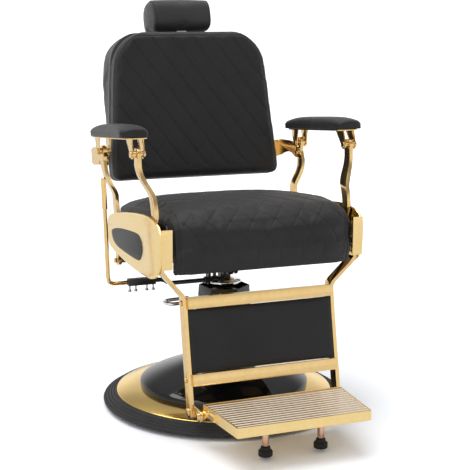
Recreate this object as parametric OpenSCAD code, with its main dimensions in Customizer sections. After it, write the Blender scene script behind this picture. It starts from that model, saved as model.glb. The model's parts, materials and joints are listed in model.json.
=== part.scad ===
// Hydraulic barber chair. The sitter faces -Y, +Z is up, and the origin is on the floor,
// at the centre of the base. "left" and "right" are the -X and +X sides.

/* [Base] */
// Outer radius of the rubber floor ring
ring_r = 340; // [334:1:352]
// Height of the floor ring's lip above the floor
ring_lip = 12; // [8:1:14]
// Height of the floor ring where it carries the cover
ring_h = 37; // [34:0.5:42]
// Width of the rubber ring outside the base cover
rubber_w = 38; // [34:1:44]
// Wall of the base cover
cover_t = 3; // [2:0.5:4]
// Radius of the bell cover at its foot
bell_r = 236; // [228:1:244]
// Wall of the bell cover
bell_t = 3; // [2:0.5:4]
// Height of the bell cover's foot band
bell_band = 11; // [8:0.5:14]
// Rise of the bell cover's dome
bell_dome = 18; // [12:1:26]
// Corner radius of the six-sided column cover at its rim
column_r = 71; // [70.5:0.5:74]
// Height of the column cover's rim
column_top = 336; // [330:1:340]
// Wall of the column cover
column_t = 2.5; // [2:0.5:2.5]

/* [Pump] */
// Outer radius of the pump cylinder
cylinder_r = 38; // [36:0.5:38]
// Radius of the cylinder's bore
bore_r = 31; // [29:0.5:32]
// Height of the cylinder's top
cylinder_top = 300; // [296:1:302]
// Radius of the ram
ram_r = 25; // [23:0.5:26]
// Radius of the ram's top flange
flange_r = 47; // [44:0.5:50]
// Height of the ram's top flange
flange_z = 350; // [348:0.5:352]
// Radius of the neck that the seat turns on
neck_r = 13; // [11:0.5:14]
// Reach of the foot pedal from the column's centre
pedal_reach = 190; // [182:1:196]
// Width of the pedal's loop between its rod centres
pedal_w = 46; // [40:1:52]
// Diameter of the pedal's rod
pedal_d = 10; // [8:0.5:11]

/* [Seat] */
// Half width of the seat cushion
seat_w = 247; // [240:1:247]
// Height of the cushion's lower front edge
seat_low = 440; // [434:1:446]
// Height of the seat's crown
seat_top = 606; // [600:1:612]
// Thickness of the seat board
board_t = 14; // [10:1:16]
// Depth of the quilting
quilt = 4; // [2:0.5:6]
// Gap between the seat cushion and a side plate
seat_gap = 3; // [1:0.5:3]
// Thickness of a housing's outer wall
shell_t = 6; // [5:0.5:8]
// Thickness of the housings' inset panels
inset_t = 2; // [1.5:0.25:3]

/* [Arms] */
// Width of the arm posts
post_w = 30; // [24:1:32]
// Thickness of the arm posts
post_t = 10; // [8:0.5:10]
// How far the round eye of a post or bar stands out beyond its width
eye_rim = 1.2; // [0.6:0.2:2]
// How far the armrests stand outside the feet of their posts
arm_out = 28.5; // [28:0.5:30]
// Length of an armrest pad
pad_l = 335; // [325:1:345]
// Width of an armrest pad
pad_w = 76; // [70:1:80]
// Height of an armrest pad at its crown
pad_h = 35; // [32:1:42]

/* [Back] */
// Half width of the backrest
back_w = 254; // [248:1:256]
// Height of the backrest along its face
back_h = 420; // [414:1:424]
// Thickness of the backrest's front cushion
back_pad = 42; // [40:1:44]
// Width of the headrest
head_w = 186; // [176:1:196]
// Depth of the headrest
head_d = 112; // [104:1:118]
// Height of the headrest
head_h = 87; // [80:1:92]

/* [Legs] */
// Width of the leg bars
leg_w = 32; // [28:1:34]
// Middle of the leg bars beside the leg panel, measured from the chair's middle
leg_x = 208; // [206:0.5:210]
// Height of the gold cross bands
band_h = 30; // [26:1:34]
// Half width of the footrest
foot_w = 181; // [176:1:183]
// Depth of the footrest
foot_d = 181; // [170:1:190]
// Number of ribs across the footrest
ribs = 12; // [10:1:13]

/* [Hidden] */
$fn = 64;
// Radial gap of a running fit
fit = 0.05;
// Radial gap of a pivot that another joint already guides
loose = 0.3;
// Pivots, as [y, z]
back_pin = [112, 500];
front_pin = [-193, 528];
arm_rear = [150, 705];
arm_front = arm_rear + front_pin - back_pin;
leg_pin = [-240, 470];
tie_arm = [-18, 28];
tie_rear = back_pin + tie_arm;
tie_front = leg_pin + tie_arm;
crank_pin = [112, 403];
strut_pin = [-150, 412];
lever_pin = [-40, 363];
link_bolt = [-290, 84];
foot_pin = [-337, 86];
pin_r = 8;
arm_pin_r = 6;
// Layers beside the seat: the side plates, the ties, the posts, the housings and the arms
plate_x = seat_w + seat_gap;
plate_t = 5;
plate_out = plate_x + plate_t;
tie_in = plate_out + 2;
tie_out = tie_in + 6;
post_x = plate_x + 21;
shell_in = plate_x + 29;
shell_x = shell_in + shell_t;
arm_x = post_x + arm_out;
lever_x = shell_x + 65;
sleeve_x = shell_x + 8;
// Radii of the base cover and of the plate under it
cover_r = ring_r - rubber_w;
plate_r = cover_r - 9;
// Heights
plate_z = 12;
flange_t = 12;
cover_z = ring_h + 15;
bell_in = 96;
column_foot = bell_z(bell_in);
mount_z = 436;
mount_t = 8;
rail_z = mount_z + mount_t;
rail_h = 26;
board_z = rail_z + rail_h;
// The backrest's frame, [y, z] of its foot and its lean, and its parts' depths
back_at = [197, 612];
lean = 10;
back_board_t = 12;
ear_d = 74;
ear_t = 5;
ear_v = 76;
bolt_u = [back_w - 69, back_w - 19];
socket_d = 75;
socket_v = back_h - 170;
// The armrests' frame
arm_len = norm(arm_front - arm_rear);
arm_rise = atan((arm_front[1] - arm_rear[1]) / (arm_rear[0] - arm_front[0]));
arm_under = 38;
arm_plate_t = 3;
ear_gap = 13.5;
pad_r = 20;
// The leg rest's frame, [y, z], and its lean
leg_at = [-232, 372];
leg_lean = 10.83;
bands_v = [-16, -213];
band_front = -27;
band_d = 30;
pedal_turn = 188;
pedal_pivot = [45.5, 262];
plunger_x = 57;
block_top = 232;
// Diamonds of the quilting: half a diamond is this wide and this long
dia_x = 30.5;
dia_y = 42.5;

function unit(v) = v / norm(v);
function along(p, i) = unit(p[min(i + 1, len(p) - 1)] - p[max(i - 1, 0)]);
function beside(p, i) = [-along(p, i)[1], along(p, i)[0]];
function band(p, w) = concat(
    [for (i = [0:len(p) - 1]) p[i] + beside(p, i) * w / 2],
    [for (i = [len(p) - 1:-1:0]) p[i] - beside(p, i) * w / 2]
);
function ease(p) = concat(
    [p[0]],
    [for (i = [0:len(p) - 2]) for (t = [0.25, 0.75]) p[i] * (1 - t) + p[i + 1] * t],
    [p[len(p) - 1]]
);
function ease_ring(p) = [
    for (i = [0:len(p) - 1]) for (t = [0.25, 0.75])
        p[i] * (1 - t) + p[(i + 1) % len(p)] * t
];
function bell_z(r) = cover_z + bell_band + 0.3 * (bell_r - r)
    + bell_dome * sqrt(max(0, 1 - pow(max(0, r - 84) / (bell_r - 84), 2)));
// Puff of a diamond, 0 on its seams and 1 at its middle, at lattice place a, b
function puff(a, b) = sqrt(abs(sin(90 * (a + b)) * sin(90 * (a - b))));

function total(v, i = 0) = i < len(v) ? v[i] + total(v, i + 1) : [0, 0, 0];
function turned(f) = [for (i = [len(f) - 1:-1:0]) f[i]];

// Solid through closed rings of equally many points; par sets which way cells are split
module loft(rings, par = 0) {
    n = len(rings[0]);
    m = len(rings);
    area = total([for (j = [1:n - 2])
        cross(rings[0][j] - rings[0][0], rings[0][j + 1] - rings[0][0])]);
    way = area * (total(rings[m - 1]) - total(rings[0]));
    faces = concat(
        [for (k = [0:m - 2]) for (j = [0:n - 1]) each
            ((k + j + par) % 2 == 0
                ? [[k * n + j, k * n + (j + 1) % n, (k + 1) * n + (j + 1) % n],
                   [k * n + j, (k + 1) * n + (j + 1) % n, (k + 1) * n + j]]
                : [[k * n + j, k * n + (j + 1) % n, (k + 1) * n + j],
                   [k * n + (j + 1) % n, (k + 1) * n + (j + 1) % n, (k + 1) * n + j]])],
        [[for (j = [n - 1:-1:0]) j]],
        [[for (j = [0:n - 1]) (m - 1) * n + j]]
    );
    polyhedron(
        points = [for (r = rings) each r],
        faces = way > 0 ? [for (f = faces) turned(f)] : faces
    );
}

// A flat [y, z] outline, standing from x0 to x1
module across(x0, x1) {
    translate([x0, 0, 0])
        rotate([90, 0, 90])
            linear_extrude(x1 - x0)
                children();
}

// A flat [x, z] outline, standing from y0 to y1
module deep(y0, y1) {
    translate([0, y1, 0])
        rotate([90, 0, 0])
            linear_extrude(y1 - y0)
                children();
}

module rod(a, b, r) {
    d = b - a;
    translate(a)
        rotate([0, acos(d[2] / norm(d)), atan2(d[1], d[0])])
            cylinder(h = norm(d), r = r);
}

module path(p, r) {
    for (i = [0:len(p) - 2])
        rod(p[i], p[i + 1], r);
    for (i = [1:len(p) - 2])
        translate(p[i])
            sphere(r = r);
}

// A rod's offset in two arcs, from a towards -X over a length, up by a rise
module s_bend(a, length, rise, r) {
    turn = 2 * atan2(rise, length);
    bend_r = rise / 2 / (1 - cos(turn));
    translate(a)
        rotate([90, 0, 0])
            for (end = [0, 1])
                translate(end * [-length, rise])
                    rotate(end * 180)
                        translate([0, bend_r])
                            rotate(-90 - turn)
                                rotate_extrude(angle = turn)
                                    translate([bend_r, 0])
                                        circle(r);
}

module pin_x(at, x0, x1, r) {
    translate([x0, at[0], at[1]])
        rotate([0, 90, 0])
            cylinder(h = x1 - x0, r = r);
}

module both() {
    children();
    mirror([1, 0, 0])
        children();
}

module spot(at, r) {
    translate(at)
        circle(r);
}

// A flat outline with round corners
module plan(x0, y0, x1, y1, r) {
    translate([x0 + r, y0])
        square([x1 - x0 - 2 * r, y1 - y0]);
    translate([x0, y0 + r])
        square([x1 - x0, y1 - y0 - 2 * r]);
    for (x = [x0 + r, x1 - r], y = [y0 + r, y1 - r])
        translate([x, y])
            circle(r);
}

module back_frame() {
    translate([0, back_at[0], back_at[1]])
        rotate([-lean, 0, 0])
            children();
}

module arm_frame() {
    translate([arm_x, arm_rear[0], arm_rear[1]])
        rotate([-arm_rise, 0, 0])
            children();
}

module leg_frame() {
    translate([0, leg_at[0], leg_at[1]])
        rotate([-leg_lean, 0, 0])
            children();
}

module pedal_frame() {
    rotate([0, 0, pedal_turn])
        children();
}

// ---- Base ----

module floor_ring() {
    color([0.13, 0.13, 0.13])
        rotate_extrude($fn = 128)
            polygon(concat(
                [[plate_r + 1, 0], [plate_r + 6, 0], [plate_r + 8, ring_lip - 1],
                 [ring_r - 3, ring_lip],
                 [ring_r - 0.5, ring_lip + 1.5], [ring_r, ring_lip + 4]],
                [for (i = [0:3]) each let (
                    s = (rubber_w - 6) / 4,
                    x = ring_r - 1 - i * s,
                    z = ring_lip + 5 + (ring_h - ring_lip - 5.5) * i / 4
                ) [[x, z + 1], [x - s * 0.2, z + 3.6], [x - s * 0.55, z + 4.2], [x - s * 0.8, z + 2.4]]],
                [[cover_r + 3, ring_h + 1], [cover_r + 1, ring_h + 1], [cover_r + 1, ring_h],
                 [plate_r + 1, ring_h]]
            ));
}

module base_plate() {
    color([0.2, 0.2, 0.2])
        difference() {
            rotate_extrude($fn = 128)
                polygon([[0, 0], [plate_r - 2, 0], [plate_r, 2], [plate_r, ring_h],
                         [plate_r - 8, ring_h], [plate_r - 8, plate_z + 8],
                         [plate_r - 16, plate_z], [0, plate_z]]);
            for (a = [45:90:315])
                rotate([0, 0, a])
                    translate([80, 0, 4])
                        cylinder(h = 20, r = 5);
        }
}

module base_cover() {
    color([0.93, 0.8, 0.55])
        rotate_extrude($fn = 128)
            polygon([[plate_r - 8, ring_h], [cover_r - 1, ring_h], [cover_r, ring_h + 1],
                     [cover_r, ring_h + cover_t - 1], [cover_r - 1.5, ring_h + cover_t],
                     [bell_r + 1.5, cover_z], [100, cover_z], [100, cover_z - cover_t],
                     [bell_r, cover_z - cover_t], [plate_r - 13, ring_h + 0.6]]);
}

module bell_cover() {
    rim = [for (i = [0:14]) bell_r - (bell_r - bell_in) * (1 - cos(90 * i / 14))];
    steps = [for (i = [0:14]) bell_in + (bell_r - bell_in) * cos(90 * i / 14)];
    color([0.05, 0.05, 0.05])
        rotate_extrude($fn = 128)
            polygon(concat(
                [[bell_r - bell_t, cover_z], [bell_r, cover_z], [bell_r, cover_z + bell_band - 2],
                 [bell_r - 1, cover_z + bell_band - 1.5], [bell_r - 1, cover_z + bell_band - 0.5]],
                [for (r = steps) [r, bell_z(r)]],
                [[62, column_foot], [62, column_foot - bell_t]],
                [for (i = [14:-1:1]) [steps[i] - bell_t * 0.6, bell_z(steps[i]) - bell_t]],
                [[bell_r - bell_t, cover_z + bell_band - 2]]
            ));
}

module slab(turn, inset, z0, z1) {
    a0 = (column_r + 0.07 * (column_top - z0)) * cos(30) - inset;
    a1 = (column_r + 0.07 * (column_top - z1)) * cos(30) - inset;
    rotate([0, 0, pedal_turn + turn])
        deep(-130, 130)
            polygon([[-a0, z0], [a0, z0], [a1, z1], [-a1, z1]]);
}

module six(inset, z0, z1) {
    intersection() {
        slab(0, inset, z0, z1);
        slab(60, inset, z0, z1);
        slab(120, inset, z0, z1);
    }
}

module column_cover() {
    color([0.05, 0.05, 0.05])
        difference() {
            six(0, column_foot, column_top);
            six(column_t, column_foot - 5, column_top + 5);
            pedal_frame()
                translate([40, -17, 243])
                    cube([60, 34, 44]);
        }
}

// ---- Pump ----

module pump_cylinder() {
    color([0.3, 0.3, 0.32])
        difference() {
            union() {
                translate([0, 0, plate_z])
                    cylinder(h = flange_t, r = 95);
                translate([0, 0, plate_z])
                    cylinder(h = cylinder_top - plate_z, r = cylinder_r);
            }
            translate([0, 0, 40])
                cylinder(h = 300, r = bore_r);
            for (a = [45:90:315])
                rotate([0, 0, a])
                    translate([80, 0, 4])
                        cylinder(h = 30, r = 5);
        }
}

module flange_bolts() {
    color([0.6, 0.6, 0.6])
        for (a = [45:90:315])
            rotate([0, 0, a])
                translate([80, 0, 0]) {
                    translate([0, 0, 4])
                        cylinder(h = plate_z + flange_t - 4, r = 5);
                    translate([0, 0, plate_z + flange_t])
                        cylinder(h = 7, r = 9, $fn = 6);
                }
}

module gland_ring() {
    color([0.3, 0.3, 0.32])
        difference() {
            translate([0, 0, cylinder_top])
                cylinder(h = 20, r = cylinder_r + 6);
            translate([0, 0, cylinder_top - 1])
                cylinder(h = 22, r = ram_r + fit);
        }
}

module pump_block() {
    color([0.3, 0.3, 0.32])
        difference() {
            pedal_frame() {
                translate([30, -14, 185])
                    cube([33, 28, block_top - 185]);
                for (s = [-1, 1])
                    translate([36, s > 0 ? 8.5 : -14, 225])
                        cube([17, 5.5, 48]);
            }
            translate([0, 0, 100])
                cylinder(h = 250, r = cylinder_r);
            pedal_frame() {
                translate([plunger_x, 0, 192])
                    cylinder(h = 60, r = 5 + fit);
                translate([pedal_pivot[0], -20, pedal_pivot[1]])
                    rotate([-90, 0, 0])
                        cylinder(h = 40, r = 4);
            }
        }
}

module plunger() {
    color([0.7, 0.7, 0.72])
        pedal_frame()
            translate([plunger_x, 0, 0]) {
                translate([0, 0, 202])
                    cylinder(h = 50, r = 5);
                translate([0, 0, 252])
                    cylinder(h = 4, r = 8);
            }
}

module plunger_spring() {
    turns = 4;
    steps = 12 * turns;
    wire = 0.9;
    color([0.7, 0.7, 0.72])
        pedal_frame()
            translate([plunger_x, 0, block_top + wire])
                loft([for (k = [0:steps]) let (a = 360 * k / 12, z = (20 - 2 * wire) * k / steps)
                    [for (j = [0:5]) let (r = 6.9 + wire * cos(60 * j))
                        [r * cos(a), r * sin(a), z + wire * sin(60 * j)]]]);
}

module pedal() {
    r = pedal_d / 2;
    w = pedal_w / 2;
    x1 = pedal_reach - w - r;
    color([0.85, 0.85, 0.87])
        pedal_frame()
            difference() {
                union() {
                    rotate([90, 0, 0])
                        translate([0, 0, -8])
                            linear_extrude(16)
                                union() {
                                    polygon(band([pedal_pivot, [75, 272], [97, 290], [108, 303]], 12));
                                    spot(pedal_pivot, 7);
                                    spot([pedal_pivot[0] + 13, pedal_pivot[1]], 6);
                                }
                    for (s = [-1, 1])
                        rod([104, s * w, 305], [x1, s * w, 305], r);
                    rod([104, -w, 305], [104, w, 305], r);
                    for (s = [-1, 1])
                        translate([104, s * w, 305])
                            sphere(r = r);
                    translate([x1, 0, 305])
                        rotate([0, 0, -90])
                            rotate_extrude(angle = 180)
                                translate([w, 0])
                                    circle(r);
                }
                translate([pedal_pivot[0], -20, pedal_pivot[1]])
                    rotate([-90, 0, 0])
                        cylinder(h = 40, r = 4 + fit);
            }
}

module pedal_pin() {
    color([0.6, 0.6, 0.6])
        pedal_frame()
            translate([pedal_pivot[0], 0, pedal_pivot[1]])
                rotate([-90, 0, 0]) {
                    translate([0, 0, -14])
                        cylinder(h = 28, r = 4);
                    translate([0, 0, -16])
                        cylinder(h = 2, r = 6);
                    translate([0, 0, 14])
                        cylinder(h = 2, r = 6);
                }
}

module ram() {
    color([0.8, 0.8, 0.82])
        union() {
            translate([0, 0, 60])
                cylinder(h = 22, r = bore_r - fit);
            translate([0, 0, 60])
                cylinder(h = flange_z - 66, r = ram_r);
            translate([0, 0, flange_z - 6])
                cylinder(h = 6, r = flange_r);
            translate([0, 0, flange_z])
                cylinder(h = mount_z - 4 - flange_z, r = neck_r);
        }
}

module thrust_washer() {
    color([0.7, 0.6, 0.4])
        difference() {
            translate([0, 0, flange_z])
                cylinder(h = 2, r = 28);
            translate([0, 0, flange_z - 1])
                cylinder(h = 4, r = neck_r);
        }
}

// ---- Seat frame ----

module bolt_spots() {
    for (x = [-70, 70], y = [-127, 23])
        translate([x, y, 0])
            children();
}

module seat_mount() {
    color([0.08, 0.08, 0.08])
        difference() {
            union() {
                translate([-90, -165, mount_z])
                    cube([180, 213, mount_t]);
                translate([0, 0, flange_z + 2])
                    cylinder(h = mount_z - flange_z - 2, r = neck_r + 5);
                for (a = [0, 90, 270])
                    rotate([0, 0, a])
                        deep(-3, 3)
                            polygon([[neck_r + 3, 392], [neck_r + 7, 392], [46, mount_z],
                                     [neck_r + 3, mount_z]]);
                for (x = [-66, -30])
                    across(x, x + 6)
                        union() {
                            translate([lever_pin[0] - 12, lever_pin[1]])
                                square([24, mount_z - lever_pin[1]]);
                            spot(lever_pin, 12);
                        }
                for (x = [-65, -31])
                    across(x, x + 6)
                        union() {
                            translate([strut_pin[0] - 11, strut_pin[1]])
                                square([22, mount_z - strut_pin[1]]);
                            spot(strut_pin, 11);
                        }
                pin_x(strut_pin, -68, -22, 5);
            }
            translate([0, 0, flange_z])
                cylinder(h = mount_z - 2 - flange_z, r = neck_r + fit);
            pin_x(lever_pin, -80, -10, 6 + fit);
            bolt_spots()
                translate([0, 0, mount_z - 1])
                    cylinder(h = mount_t + 2, r = 4);
        }
}

module mount_bolts() {
    color([0.6, 0.6, 0.6])
        bolt_spots() {
            translate([0, 0, mount_z])
                cylinder(h = mount_t + 13, r = 4);
            translate([0, 0, mount_z - 6])
                cylinder(h = 6, r = 7.5, $fn = 6);
        }
}

module cross_rails() {
    color([0.08, 0.08, 0.08])
        for (y = [-140, 10])
            difference() {
                translate([-plate_x, y, rail_z])
                    cube([2 * plate_x, rail_h, rail_h]);
                translate([-plate_x - 1, y + 3, rail_z + 16])
                    cube([2 * plate_x + 2, rail_h - 6, rail_h - 19]);
                bolt_spots()
                    translate([0, 0, rail_z - 1])
                        cylinder(h = 14, r = 4);
            }
}

module side_plates() {
    color([0.08, 0.08, 0.08])
        both()
            across(plate_x, plate_out)
                difference() {
                    union() {
                        polygon([[-230, 449], [-212, 452], [-180, rail_z], [60, rail_z], [80, 474],
                                 [135, 474], [140, 490], [135, 525], [60, 545], [-120, 560],
                                 [-240, 560], [-262, 540], [-262, 475]]);
                        spot(leg_pin, 22);
                    }
                    spot(leg_pin, pin_r);
                    spot(front_pin, pin_r);
                    spot(back_pin, pin_r);
                }
}

module seat_board() {
    color([0.6, 0.45, 0.28])
        difference() {
            translate([1 - seat_w, -262, board_z])
                cube([2 * seat_w - 2, 458, board_t]);
            for (x = [-120, 120], y = [-127, 23])
                translate([x, y, board_z - 1])
                    cylinder(h = board_t + 2, r = 4);
        }
}

// Seat cushion's outline at [y, z], from its back over the crown to its lower front
function seat_line(t) = t < 0.78
    ? let (s = t / 0.78) [190 - 400 * s, seat_top - 38 + 38 * sin(90 * min(1, s * 1.12))
        - (s > 0.86 ? 90 * pow(s - 0.86, 1.5) : 0)]
    : let (s = (t - 0.78) / 0.22) [-210 - 82 * sin(90 * min(1, 1.15 * s)),
        seat_top - 5 - 100 * s * s * (1 - 0.12 * s)];

module seat_cushion() {
    cols = [-1, -0.965, for (i = [-7:7]) i / 8, 0.965, 1];
    rows = [for (j = [0:14]) j / 14];
    color([0.19, 0.18, 0.19])
        difference() {
            loft([for (u = cols) let (
                    drop = 26 * pow(abs(u), 4)
                ) concat(
                    [[u * seat_w, 190, seat_low], [u * seat_w, 196, seat_low + 30]],
                    [for (j = [0:14]) let (
                        p = seat_line(rows[j]),
                        q = abs(u) > 0.9 || j == 0 ? 0 : quilt * puff(u * 8, j)
                    ) [u * seat_w, (p[0] + (p[0] < -150 ? -0.6 * q + 14 * pow(abs(u), 10) : 0)),
                       p[1] - drop * (1 - rows[j] * rows[j]) + (p[0] > -280 ? 0.8 * q - quilt : 0)]],
                    [[u * seat_w, -300 + 14 * pow(abs(u), 10), seat_low + 45],
                     [u * seat_w, -288 + 8 * pow(abs(u), 10), seat_low]]
                )], 0);
            translate([-seat_w - 13, -262, 400])
                cube([2 * seat_w + 26, 500, board_z + board_t - 400]);
        }
}

// ---- Side housings and pivots ----

shell_line = [[176, 505], [160, 527], [63, 548], [-122, 575], [-214, 579], [-278, 558],
              [-281, 509], [-276, 453], [-221, 418], [-117, 414], [4, 417], [152, 433],
              [171, 450]];
inset_line = [[134, 483], [110, 495], [44, 507], [-68, 517], [-115, 518], [-142, 491],
              [-134, 466], [-120, 450], [-96, 447], [-5, 447], [104, 452]];
function shell_ring(x, by) = [
    for (p = ease_ring(shell_line))
        [x, -53 + (p[0] + 53) * (1 - by / 228), 496 + (p[1] - 496) * (1 - by / 82)]
];
stays = [[-100, 462], [40, 462], [-70, 546]];

module housing(side) {
    color([0.93, 0.8, 0.55])
        mirror([side < 0 ? 1 : 0, 0, 0])
            difference() {
                union() {
                    loft([shell_ring(shell_in - 1.5, 0.5), shell_ring(shell_in + 0.5, 0),
                          shell_ring(shell_x - 2.5, 0.8), shell_ring(shell_x - 0.8, 3),
                          shell_ring(shell_x, 7)]);
                    translate([plate_x + 2, -282, 456])
                        cube([shell_in - plate_x - 1, 3, 102]);
                    for (s = stays)
                        pin_x(s, plate_out, shell_in + 1, 6);
                }
                difference() {
                    loft([shell_ring(shell_in - 3, 3.5), shell_ring(shell_in, 3.5)]);
                    for (s = stays)
                        pin_x(s, plate_out, shell_in + 1, 6);
                }
                across(shell_x - inset_t / 2, shell_x + 5)
                    polygon(ease_ring(ease_ring(inset_line)));
            }
}

module housing_left() {
    housing(-1);
}

module housing_right() {
    housing(1);
}

module housing_insets() {
    color([0.12, 0.12, 0.12])
        both()
            across(shell_x - inset_t / 2, shell_x + inset_t / 2)
                polygon(ease_ring(ease_ring(inset_line)));
}

module pivot_pins() {
    color([0.6, 0.6, 0.6])
        both()
            for (p = [leg_pin, front_pin, back_pin]) {
                pin_x(p, plate_x, post_x + 6.3, pin_r);
                pin_x(p, plate_out, post_x - 5.3, pin_r + 2);
                pin_x(p, post_x + 5.3, post_x + 6.3, pin_r + 3);
            }
}

// ---- Recline strut and lever ----

strut_len = norm(crank_pin - strut_pin);
strut_rise = atan2(crank_pin[1] - strut_pin[1], crank_pin[0] - strut_pin[0]);
strut_x = -45;

module strut_frame() {
    translate([strut_x, strut_pin[0], strut_pin[1]])
        rotate([strut_rise, 0, 0])
            children();
}

module strut_body() {
    color([0.1, 0.1, 0.1])
        strut_frame()
            difference() {
                union() {
                    across(-7, 7)
                        spot([0, 0], 12);
                    rotate([-90, 0, 0])
                        cylinder(h = 160, r = 12);
                }
                across(-20, 20)
                    spot([0, 0], 5 + fit);
                translate([0, 40, 0])
                    rotate([-90, 0, 0])
                        cylinder(h = 130, r = 5 + fit);
                for (s = [-1, 1])
                    translate([s > 0 ? 7 : -27, -20, -20])
                        cube([20, 33, 40]);
            }
}

module strut_rod() {
    color([0.8, 0.8, 0.82])
        strut_frame()
            difference() {
                union() {
                    translate([0, 100, 0])
                        rotate([-90, 0, 0])
                            cylinder(h = strut_len - 110, r = 5);
                    across(-6, 6)
                        translate([strut_len, 0])
                            plan(-13, -16, 13, 16, 12.5);
                }
                across(-8, 8)
                    translate([strut_len, 0])
                        plan(-8.9, -11.2, 8.9, 11.2, 8.85);
            }
}

module lever_shaft() {
    y = lever_pin[0];
    z = lever_pin[1];
    color([0.08, 0.08, 0.08])
        union() {
            pin_x(lever_pin, -23.7, -19.7, 9);
            pin_x(lever_pin, -168, -21, 6);
            s_bend([-168, y, z], 36, 12, 5.9);
            pin_x([y, z + 12], 40 - sleeve_x, -204, 6);
            pin_x(lever_pin, -74, -68, 10);
            pin_x(lever_pin, -53, -37, 10);
            across(-48, -42)
                translate([y - 6, z])
                    square([12, 31]);
        }
}

screw_x = [for (d = [5, 22, 53, 71]) d - sleeve_x];

module clamp_sleeve() {
    y = lever_pin[0];
    z = lever_pin[1] + 12;
    color([0.08, 0.08, 0.08])
        difference() {
            translate([-sleeve_x, y - 9, z - 9])
                cube([76, 18, 18]);
            pin_x([y, z], -sleeve_x - 7, 38 - sleeve_x, 5.5);
            pin_x([y, z], 40 - sleeve_x, 83 - sleeve_x, 6);
            for (x = screw_x)
                translate([x, y, z - 12])
                    cylinder(h = 12, r = 2.5);
        }
}

module clamp_screws() {
    y = lever_pin[0];
    z = lever_pin[1] + 12;
    color([0.5, 0.5, 0.5])
        for (i = [0:3])
            translate([screw_x[i], y, z - 26]) {
                cylinder(h = 26 - (i < 2 ? 5.5 : 6), r = 2.5);
                cylinder(h = 6, r1 = 5.5, r2 = 3.5);
            }
}

module lever_rod() {
    y = lever_pin[0];
    z = lever_pin[1] + 12;
    low = [-lever_x, y - 8, z + 20];
    high = [-lever_x, -19, 652];
    color([0.93, 0.8, 0.55])
        union() {
            path([[38 - sleeve_x, y, z], [15 - lever_x, y, z], [4 - lever_x, y - 4, z + 7], low,
                  low * 0.25 + high * 0.75], 5.5);
            rod(low * 0.3 + high * 0.7, high, 7);
            translate(high)
                sphere(r = 7);
        }
}

// ---- Backrest ----

module post_bend(low, high) {
    deep(-300, 300)
        polygon(band(ease(ease([[post_x, 380], [post_x, low], [post_x + 3, low + 14],
                                [arm_x - 5, high - 24], [arm_x, high],
                                [arm_x, high + 8], [arm_x, 800]])), post_t));
}

module rear_posts() {
    line = [back_pin, [133, 567], [130, 603], [134, 641], [153, 680], arm_rear];
    color([0.93, 0.8, 0.55])
        both()
            difference() {
                union() {
                    intersection() {
                        across(post_x - 16, arm_x + 10.5)
                            polygon(band(ease(ease(line)), post_w));
                        post_bend(578, 654);
                    }
                    across(post_x - post_t / 2, post_x + post_t / 2) {
                        polygon(band([crank_pin, back_pin], 24));
                        polygon(band([tie_rear, back_pin], 22));
                        spot(crank_pin, 14);
                        spot(back_pin, 19);
                        spot(tie_rear, 12);
                    }
                    across(arm_x - post_t / 2, arm_x + post_t / 2)
                        spot(arm_rear, post_w / 2 + eye_rim);
                    pin_x(tie_rear, tie_in - 0.3, post_x, 5);
                    pin_x(tie_rear, plate_out + 0.5, tie_in - 0.3, 7.5);
                }
                pin_x(back_pin, plate_x - 10, arm_x, pin_r + fit);
                pin_x(arm_rear, post_x - 1, arm_x + 30, arm_pin_r + fit);
                pin_x(crank_pin, plate_x - 10, arm_x, 8);
                pin_x([152, 672], post_x - 1, arm_x + 30, 4);
            }
}

module crank_tube() {
    color([0.1, 0.1, 0.1])
        difference() {
            pin_x(crank_pin, -post_x - post_t / 2, post_x + post_t / 2, 8);
            pin_x(crank_pin, -arm_x, arm_x, 5);
        }
}

module tube_caps() {
    x = post_x + post_t / 2;
    color([0.93, 0.8, 0.55])
        both()
            translate([x, crank_pin[0], crank_pin[1]])
                rotate([0, 90, 0])
                    rotate_extrude()
                        polygon([[0, -12], [5, -12], [5, 0], [4.5, 1], [5, 3], [7, 4], [7, 7],
                                 [5.5, 8.5], [0, 9]]);
}

module ear_brackets() {
    x = arm_x - post_t / 2;
    color([0.93, 0.8, 0.55])
        both() {
            difference() {
                across(x - ear_t, x)
                    polygon(ease_ring([[137, 664], [160, 660], [192, 674], [230, 668], [262, 655],
                                       [290, 650], [286, 701], [240, 704], [191, 706],
                                       [166, 700], [156, 690], [140, 688]]));
                pin_x([152, 672], post_x - 1, arm_x + 30, 4);
                back_frame()
                    translate([270, ear_d, 0])
                        cube([60, 80, 150]);
            }
            back_frame()
                difference() {
                    deep(ear_d, ear_d + ear_t)
                        plan(bolt_u[0] - 17, ear_v - 25, x, ear_v + 25, 8);
                    for (u = bolt_u)
                        translate([u, ear_d - 20, ear_v])
                            rotate([-90, 0, 0])
                                cylinder(h = 40, r = 4);
                }
        }
}

module ear_bolts() {
    x = arm_x - post_t / 2;
    color([0.85, 0.7, 0.45])
        both() {
            pin_x([152, 672], x - ear_t, x + post_t, 4);
            pin_x([152, 672], x - ear_t - 3.2, x - ear_t, 7);
            back_frame()
                for (u = bolt_u)
                    translate([u, 0, ear_v])
                        rotate([-90, 0, 0]) {
                            translate([0, 0, back_pad + 4])
                                cylinder(h = ear_d + ear_t - back_pad - 4, r = 4);
                            translate([0, 0, back_pad + back_board_t])
                                cylinder(h = ear_d - back_pad - back_board_t, r = 8);
                            translate([0, 0, ear_d + ear_t])
                                cylinder(h = 5, r = 7.5);
                        }
        }
}

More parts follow.
